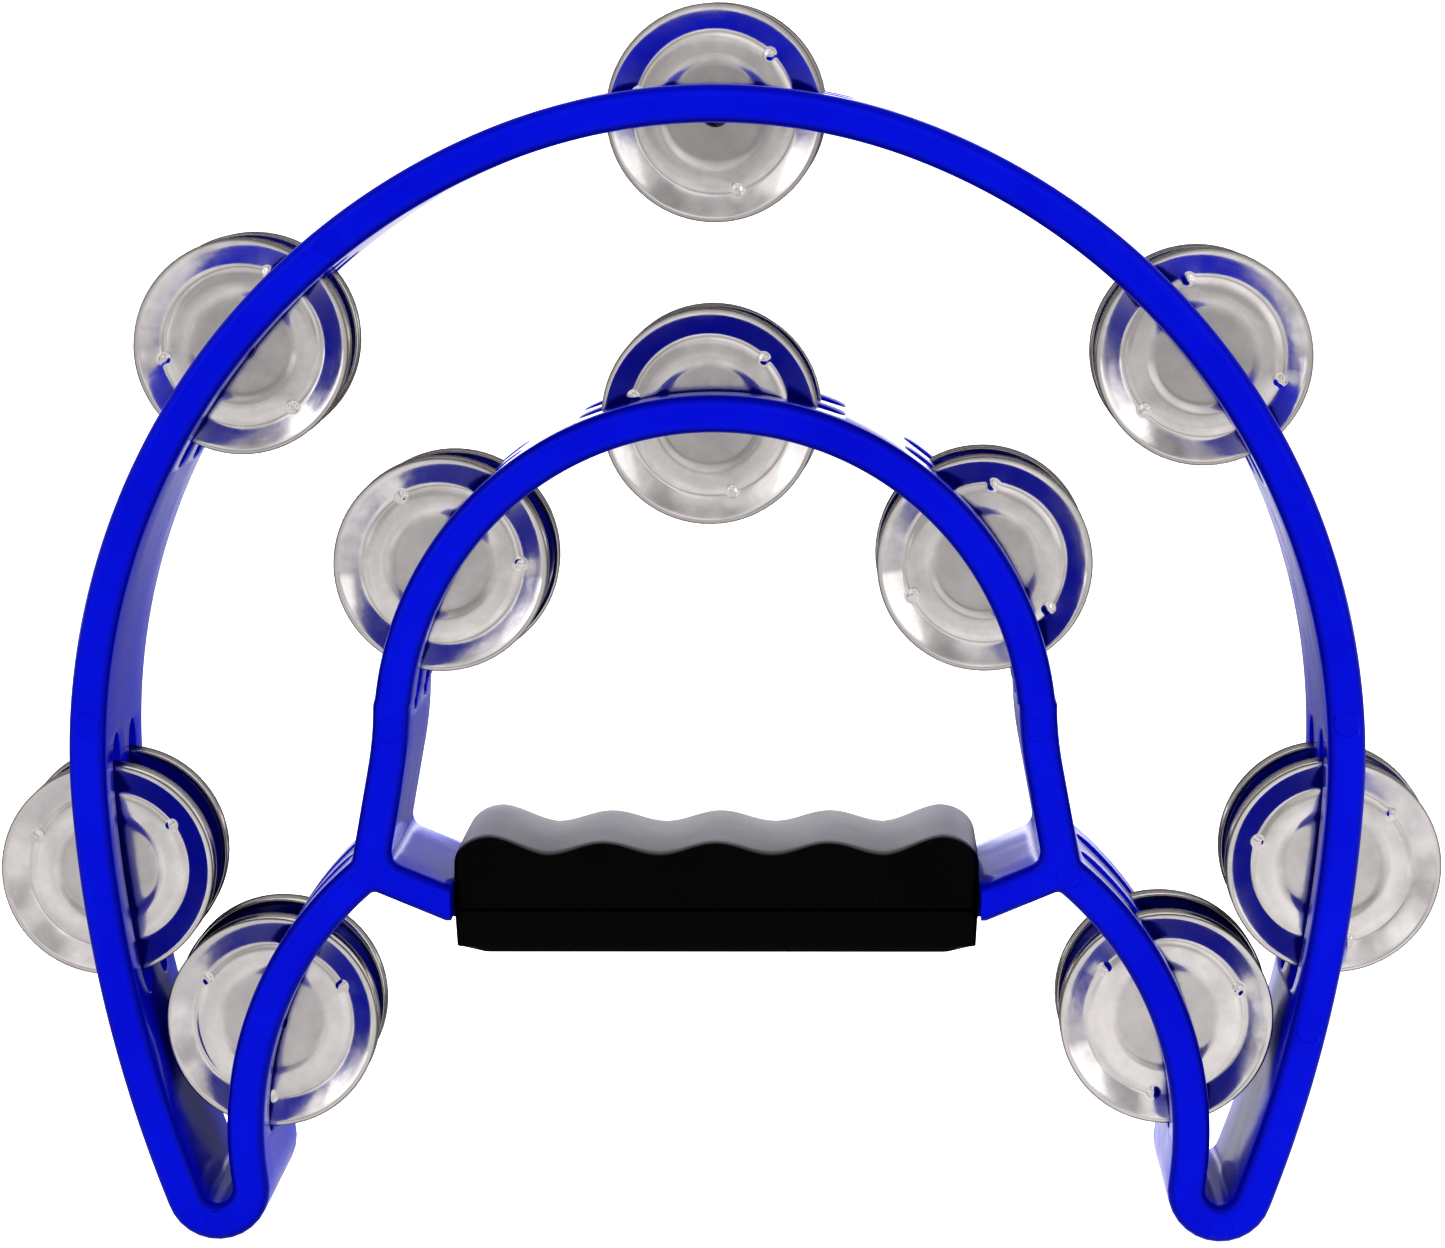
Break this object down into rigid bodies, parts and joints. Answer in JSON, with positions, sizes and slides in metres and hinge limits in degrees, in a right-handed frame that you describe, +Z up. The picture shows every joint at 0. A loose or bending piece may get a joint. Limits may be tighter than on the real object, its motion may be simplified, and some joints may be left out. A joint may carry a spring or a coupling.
{
  "type": "half-moon tambourine",
  "caption": "Half-moon hand tambourine: moulded band frame with horn tips and an inner arch, a crossbar with a finger-grooved rubber grip, and rows of paired steel jingles on pins.",
  "frame": {"origin": "on the floor under the middle of the bounding box, with the tambourine standing on its two horn tips", "axes": "+X to the right along the handle bar, +Y from the front rim to the rear rim along the pins, +Z up from the horn tips to the crown"},
  "size_m": [0.2729, 0.045, 0.234],
  "materials": {
    "frame_plastic": "glossy royal blue injection moulding, smooth, with rounded rim edges",
    "grip_rubber": "satin black moulded rubber with finger grooves",
    "jingle_steel": "bright polished nickel-plated sheet steel, stamped",
    "pin_steel": "plain drawn steel wire"
  },
  "bodies": {
    "frame": {"frame": "frame_plastic", "grip_upper": "grip_rubber", "grip_lower": "grip_rubber"},
    "pin_crown": {"pin_crown": "pin_steel"},
    "jingle_crown_front_1": {"jingle_crown_front_1": "jingle_steel"},
    "jingle_crown_front_2": {"jingle_crown_front_2": "jingle_steel"},
    "jingle_crown_rear_1": {"jingle_crown_rear_1": "jingle_steel"},
    "jingle_crown_rear_2": {"jingle_crown_rear_2": "jingle_steel"},
    "pin_shoulder_left": {"pin_shoulder_left": "pin_steel"},
    "jingle_shoulder_left_front_1": {"jingle_shoulder_left_front_1": "jingle_steel"},
    "jingle_shoulder_left_front_2": {"jingle_shoulder_left_front_2": "jingle_steel"},
    "jingle_shoulder_left_rear_1": {"jingle_shoulder_left_rear_1": "jingle_steel"},
    "jingle_shoulder_left_rear_2": {"jingle_shoulder_left_rear_2": "jingle_steel"},
    "pin_shoulder_right": {"pin_shoulder_right": "pin_steel"},
    "jingle_shoulder_right_front_1": {"jingle_shoulder_right_front_1": "jingle_steel"},
    "jingle_shoulder_right_front_2": {"jingle_shoulder_right_front_2": "jingle_steel"},
    "jingle_shoulder_right_rear_1": {"jingle_shoulder_right_rear_1": "jingle_steel"},
    "jingle_shoulder_right_rear_2": {"jingle_shoulder_right_rear_2": "jingle_steel"},
    "pin_flank_left": {"pin_flank_left": "pin_steel"},
    "jingle_flank_left_front_1": {"jingle_flank_left_front_1": "jingle_steel"},
    "jingle_flank_left_front_2": {"jingle_flank_left_front_2": "jingle_steel"},
    "jingle_flank_left_rear_1": {"jingle_flank_left_rear_1": "jingle_steel"},
    "jingle_flank_left_rear_2": {"jingle_flank_left_rear_2": "jingle_steel"},
    "pin_flank_right": {"pin_flank_right": "pin_steel"},
    "jingle_flank_right_front_1": {"jingle_flank_right_front_1": "jingle_steel"},
    "jingle_flank_right_front_2": {"jingle_flank_right_front_2": "jingle_steel"},
    "jingle_flank_right_rear_1": {"jingle_flank_right_rear_1": "jingle_steel"},
    "jingle_flank_right_rear_2": {"jingle_flank_right_rear_2": "jingle_steel"},
    "pin_horn_left": {"pin_horn_left": "pin_steel"},
    "jingle_horn_left_front_1": {"jingle_horn_left_front_1": "jingle_steel"},
    "jingle_horn_left_front_2": {"jingle_horn_left_front_2": "jingle_steel"},
    "jingle_horn_left_rear_1": {"jingle_horn_left_rear_1": "jingle_steel"},
    "jingle_horn_left_rear_2": {"jingle_horn_left_rear_2": "jingle_steel"},
    "pin_horn_right": {"pin_horn_right": "pin_steel"},
    "jingle_horn_right_front_1": {"jingle_horn_right_front_1": "jingle_steel"},
    "jingle_horn_right_front_2": {"jingle_horn_right_front_2": "jingle_steel"},
    "jingle_horn_right_rear_1": {"jingle_horn_right_rear_1": "jingle_steel"},
    "jingle_horn_right_rear_2": {"jingle_horn_right_rear_2": "jingle_steel"},
    "pin_arch_top": {"pin_arch_top": "pin_steel"},
    "jingle_arch_top_front_1": {"jingle_arch_top_front_1": "jingle_steel"},
    "jingle_arch_top_front_2": {"jingle_arch_top_front_2": "jingle_steel"},
    "jingle_arch_top_rear_1": {"jingle_arch_top_rear_1": "jingle_steel"},
    "jingle_arch_top_rear_2": {"jingle_arch_top_rear_2": "jingle_steel"},
    "pin_arch_left": {"pin_arch_left": "pin_steel"},
    "jingle_arch_left_front_1": {"jingle_arch_left_front_1": "jingle_steel"},
    "jingle_arch_left_front_2": {"jingle_arch_left_front_2": "jingle_steel"},
    "jingle_arch_left_rear_1": {"jingle_arch_left_rear_1": "jingle_steel"},
    "jingle_arch_left_rear_2": {"jingle_arch_left_rear_2": "jingle_steel"},
    "pin_arch_right": {"pin_arch_right": "pin_steel"},
    "jingle_arch_right_front_1": {"jingle_arch_right_front_1": "jingle_steel"},
    "jingle_arch_right_front_2": {"jingle_arch_right_front_2": "jingle_steel"},
    "jingle_arch_right_rear_1": {"jingle_arch_right_rear_1": "jingle_steel"},
    "jingle_arch_right_rear_2": {"jingle_arch_right_rear_2": "jingle_steel"}
  },
  "joints": [
    {"name": "spin_crown", "type": "hinge", "parent": "frame", "child": "pin_crown", "pos_m": [0.0005, 0, 0.21382], "axis": [0, 1, 0], "continuous": true},
    {"name": "slide_crown_front_1", "type": "slide", "parent": "pin_crown", "child": "jingle_crown_front_1", "axis": [0, 1, 0], "range_m": [-0.001, 0.00035]},
    {"name": "slide_crown_front_2", "type": "slide", "parent": "pin_crown", "child": "jingle_crown_front_2", "axis": [0, 1, 0], "range_m": [-0.00035, 0.001]},
    {"name": "slide_crown_rear_1", "type": "slide", "parent": "pin_crown", "child": "jingle_crown_rear_1", "axis": [0, 1, 0], "range_m": [-0.001, 0.00035]},
    {"name": "slide_crown_rear_2", "type": "slide", "parent": "pin_crown", "child": "jingle_crown_rear_2", "axis": [0, 1, 0], "range_m": [-0.00035, 0.001]},
    {"name": "spin_shoulder_left", "type": "hinge", "parent": "frame", "child": "pin_shoulder_left", "pos_m": [-0.08852, 0, 0.17089], "axis": [0, 1, 0], "continuous": true},
    {"name": "slide_shoulder_left_front_1", "type": "slide", "parent": "pin_shoulder_left", "child": "jingle_shoulder_left_front_1", "axis": [0, 1, 0], "range_m": [-0.001, 0.00035]},
    {"name": "slide_shoulder_left_front_2", "type": "slide", "parent": "pin_shoulder_left", "child": "jingle_shoulder_left_front_2", "axis": [0, 1, 0], "range_m": [-0.00035, 0.001]},
    {"name": "slide_shoulder_left_rear_1", "type": "slide", "parent": "pin_shoulder_left", "child": "jingle_shoulder_left_rear_1", "axis": [0, 1, 0], "range_m": [-0.001, 0.00035]},
    {"name": "slide_shoulder_left_rear_2", "type": "slide", "parent": "pin_shoulder_left", "child": "jingle_shoulder_left_rear_2", "axis": [0, 1, 0], "range_m": [-0.00035, 0.001]},
    {"name": "spin_shoulder_right", "type": "hinge", "parent": "frame", "child": "pin_shoulder_right", "pos_m": [0.09104, 0, 0.16779], "axis": [0, 1, 0], "continuous": true},
    {"name": "slide_shoulder_right_front_1", "type": "slide", "parent": "pin_shoulder_right", "child": "jingle_shoulder_right_front_1", "axis": [0, 1, 0], "range_m": [-0.001, 0.00035]},
    {"name": "slide_shoulder_right_front_2", "type": "slide", "parent": "pin_shoulder_right", "child": "jingle_shoulder_right_front_2", "axis": [0, 1, 0], "range_m": [-0.00035, 0.001]},
    {"name": "slide_shoulder_right_rear_1", "type": "slide", "parent": "pin_shoulder_right", "child": "jingle_shoulder_right_rear_1", "axis": [0, 1, 0], "range_m": [-0.001, 0.00035]},
    {"name": "slide_shoulder_right_rear_2", "type": "slide", "parent": "pin_shoulder_right", "child": "jingle_shoulder_right_rear_2", "axis": [0, 1, 0], "range_m": [-0.00035, 0.001]},
    {"name": "spin_flank_left", "type": "hinge", "parent": "frame", "child": "pin_flank_left", "pos_m": [-0.1162, 0, 0.07137], "axis": [0, 1, 0], "continuous": true},
    {"name": "slide_flank_left_front_1", "type": "slide", "parent": "pin_flank_left", "child": "jingle_flank_left_front_1", "axis": [0, 1, 0], "range_m": [-0.001, 0.00035]},
    {"name": "slide_flank_left_front_2", "type": "slide", "parent": "pin_flank_left", "child": "jingle_flank_left_front_2", "axis": [0, 1, 0], "range_m": [-0.00035, 0.001]},
    {"name": "slide_flank_left_rear_1", "type": "slide", "parent": "pin_flank_left", "child": "jingle_flank_left_rear_1", "axis": [0, 1, 0], "range_m": [-0.001, 0.00035]},
    {"name": "slide_flank_left_rear_2", "type": "slide", "parent": "pin_flank_left", "child": "jingle_flank_left_rear_2", "axis": [0, 1, 0], "range_m": [-0.00035, 0.001]},
    {"name": "spin_flank_right", "type": "hinge", "parent": "frame", "child": "pin_flank_right", "pos_m": [0.11626, 0, 0.07197], "axis": [0, 1, 0], "continuous": true},
    {"name": "slide_flank_right_front_1", "type": "slide", "parent": "pin_flank_right", "child": "jingle_flank_right_front_1", "axis": [0, 1, 0], "range_m": [-0.001, 0.00035]},
    {"name": "slide_flank_right_front_2", "type": "slide", "parent": "pin_flank_right", "child": "jingle_flank_right_front_2", "axis": [0, 1, 0], "range_m": [-0.00035, 0.001]},
    {"name": "slide_flank_right_rear_1", "type": "slide", "parent": "pin_flank_right", "child": "jingle_flank_right_rear_1", "axis": [0, 1, 0], "range_m": [-0.001, 0.00035]},
    {"name": "slide_flank_right_rear_2", "type": "slide", "parent": "pin_flank_right", "child": "jingle_flank_right_rear_2", "axis": [0, 1, 0], "range_m": [-0.00035, 0.001]},
    {"name": "spin_horn_left", "type": "hinge", "parent": "frame", "child": "pin_horn_left", "pos_m": [-0.08568, 0, 0.0419], "axis": [0, 1, 0], "continuous": true},
    {"name": "slide_horn_left_front_1", "type": "slide", "parent": "pin_horn_left", "child": "jingle_horn_left_front_1", "axis": [0, 1, 0], "range_m": [-0.001, 0.00035]},
    {"name": "slide_horn_left_front_2", "type": "slide", "parent": "pin_horn_left", "child": "jingle_horn_left_front_2", "axis": [0, 1, 0], "range_m": [-0.00035, 0.001]},
    {"name": "slide_horn_left_rear_1", "type": "slide", "parent": "pin_horn_left", "child": "jingle_horn_left_rear_1", "axis": [0, 1, 0], "range_m": [-0.001, 0.00035]},
    {"name": "slide_horn_left_rear_2", "type": "slide", "parent": "pin_horn_left", "child": "jingle_horn_left_rear_2", "axis": [0, 1, 0], "range_m": [-0.00035, 0.001]},
    {"name": "spin_horn_right", "type": "hinge", "parent": "frame", "child": "pin_horn_right", "pos_m": [0.08534, 0, 0.04284], "axis": [0, 1, 0], "continuous": true},
    {"name": "slide_horn_right_front_1", "type": "slide", "parent": "pin_horn_right", "child": "jingle_horn_right_front_1", "axis": [0, 1, 0], "range_m": [-0.001, 0.00035]},
    {"name": "slide_horn_right_front_2", "type": "slide", "parent": "pin_horn_right", "child": "jingle_horn_right_front_2", "axis": [0, 1, 0], "range_m": [-0.00035, 0.001]},
    {"name": "slide_horn_right_rear_1", "type": "slide", "parent": "pin_horn_right", "child": "jingle_horn_right_rear_1", "axis": [0, 1, 0], "range_m": [-0.001, 0.00035]},
    {"name": "slide_horn_right_rear_2", "type": "slide", "parent": "pin_horn_right", "child": "jingle_horn_right_rear_2", "axis": [0, 1, 0], "range_m": [-0.00035, 0.001]},
    {"name": "spin_arch_top", "type": "hinge", "parent": "frame", "child": "pin_arch_top", "pos_m": [-0.0005, 0, 0.15692], "axis": [0, 1, 0], "continuous": true},
    {"name": "slide_arch_top_front_1", "type": "slide", "parent": "pin_arch_top", "child": "jingle_arch_top_front_1", "axis": [0, 1, 0], "range_m": [-0.001, 0.00035]},
    {"name": "slide_arch_top_front_2", "type": "slide", "parent": "pin_arch_top", "child": "jingle_arch_top_front_2", "axis": [0, 1, 0], "range_m": [-0.00035, 0.001]},
    {"name": "slide_arch_top_rear_1", "type": "slide", "parent": "pin_arch_top", "child": "jingle_arch_top_rear_1", "axis": [0, 1, 0], "range_m": [-0.001, 0.00035]},
    {"name": "slide_arch_top_rear_2", "type": "slide", "parent": "pin_arch_top", "child": "jingle_arch_top_rear_2", "axis": [0, 1, 0], "range_m": [-0.00035, 0.001]},
    {"name": "spin_arch_left", "type": "hinge", "parent": "frame", "child": "pin_arch_left", "pos_m": [-0.05075, 0, 0.12919], "axis": [0, 1, 0], "continuous": true},
    {"name": "slide_arch_left_front_1", "type": "slide", "parent": "pin_arch_left", "child": "jingle_arch_left_front_1", "axis": [0, 1, 0], "range_m": [-0.001, 0.00035]},
    {"name": "slide_arch_left_front_2", "type": "slide", "parent": "pin_arch_left", "child": "jingle_arch_left_front_2", "axis": [0, 1, 0], "range_m": [-0.00035, 0.001]},
    {"name": "slide_arch_left_rear_1", "type": "slide", "parent": "pin_arch_left", "child": "jingle_arch_left_rear_1", "axis": [0, 1, 0], "range_m": [-0.001, 0.00035]},
    {"name": "slide_arch_left_rear_2", "type": "slide", "parent": "pin_arch_left", "child": "jingle_arch_left_rear_2", "axis": [0, 1, 0], "range_m": [-0.00035, 0.001]},
    {"name": "spin_arch_right", "type": "hinge", "parent": "frame", "child": "pin_arch_right", "pos_m": [0.05048, 0, 0.12961], "axis": [0, 1, 0], "continuous": true},
    {"name": "slide_arch_right_front_1", "type": "slide", "parent": "pin_arch_right", "child": "jingle_arch_right_front_1", "axis": [0, 1, 0], "range_m": [-0.001, 0.00035]},
    {"name": "slide_arch_right_front_2", "type": "slide", "parent": "pin_arch_right", "child": "jingle_arch_right_front_2", "axis": [0, 1, 0], "range_m": [-0.00035, 0.001]},
    {"name": "slide_arch_right_rear_1", "type": "slide", "parent": "pin_arch_right", "child": "jingle_arch_right_rear_1", "axis": [0, 1, 0], "range_m": [-0.001, 0.00035]},
    {"name": "slide_arch_right_rear_2", "type": "slide", "parent": "pin_arch_right", "child": "jingle_arch_right_rear_2", "axis": [0, 1, 0], "range_m": [-0.00035, 0.001]}
  ]
}
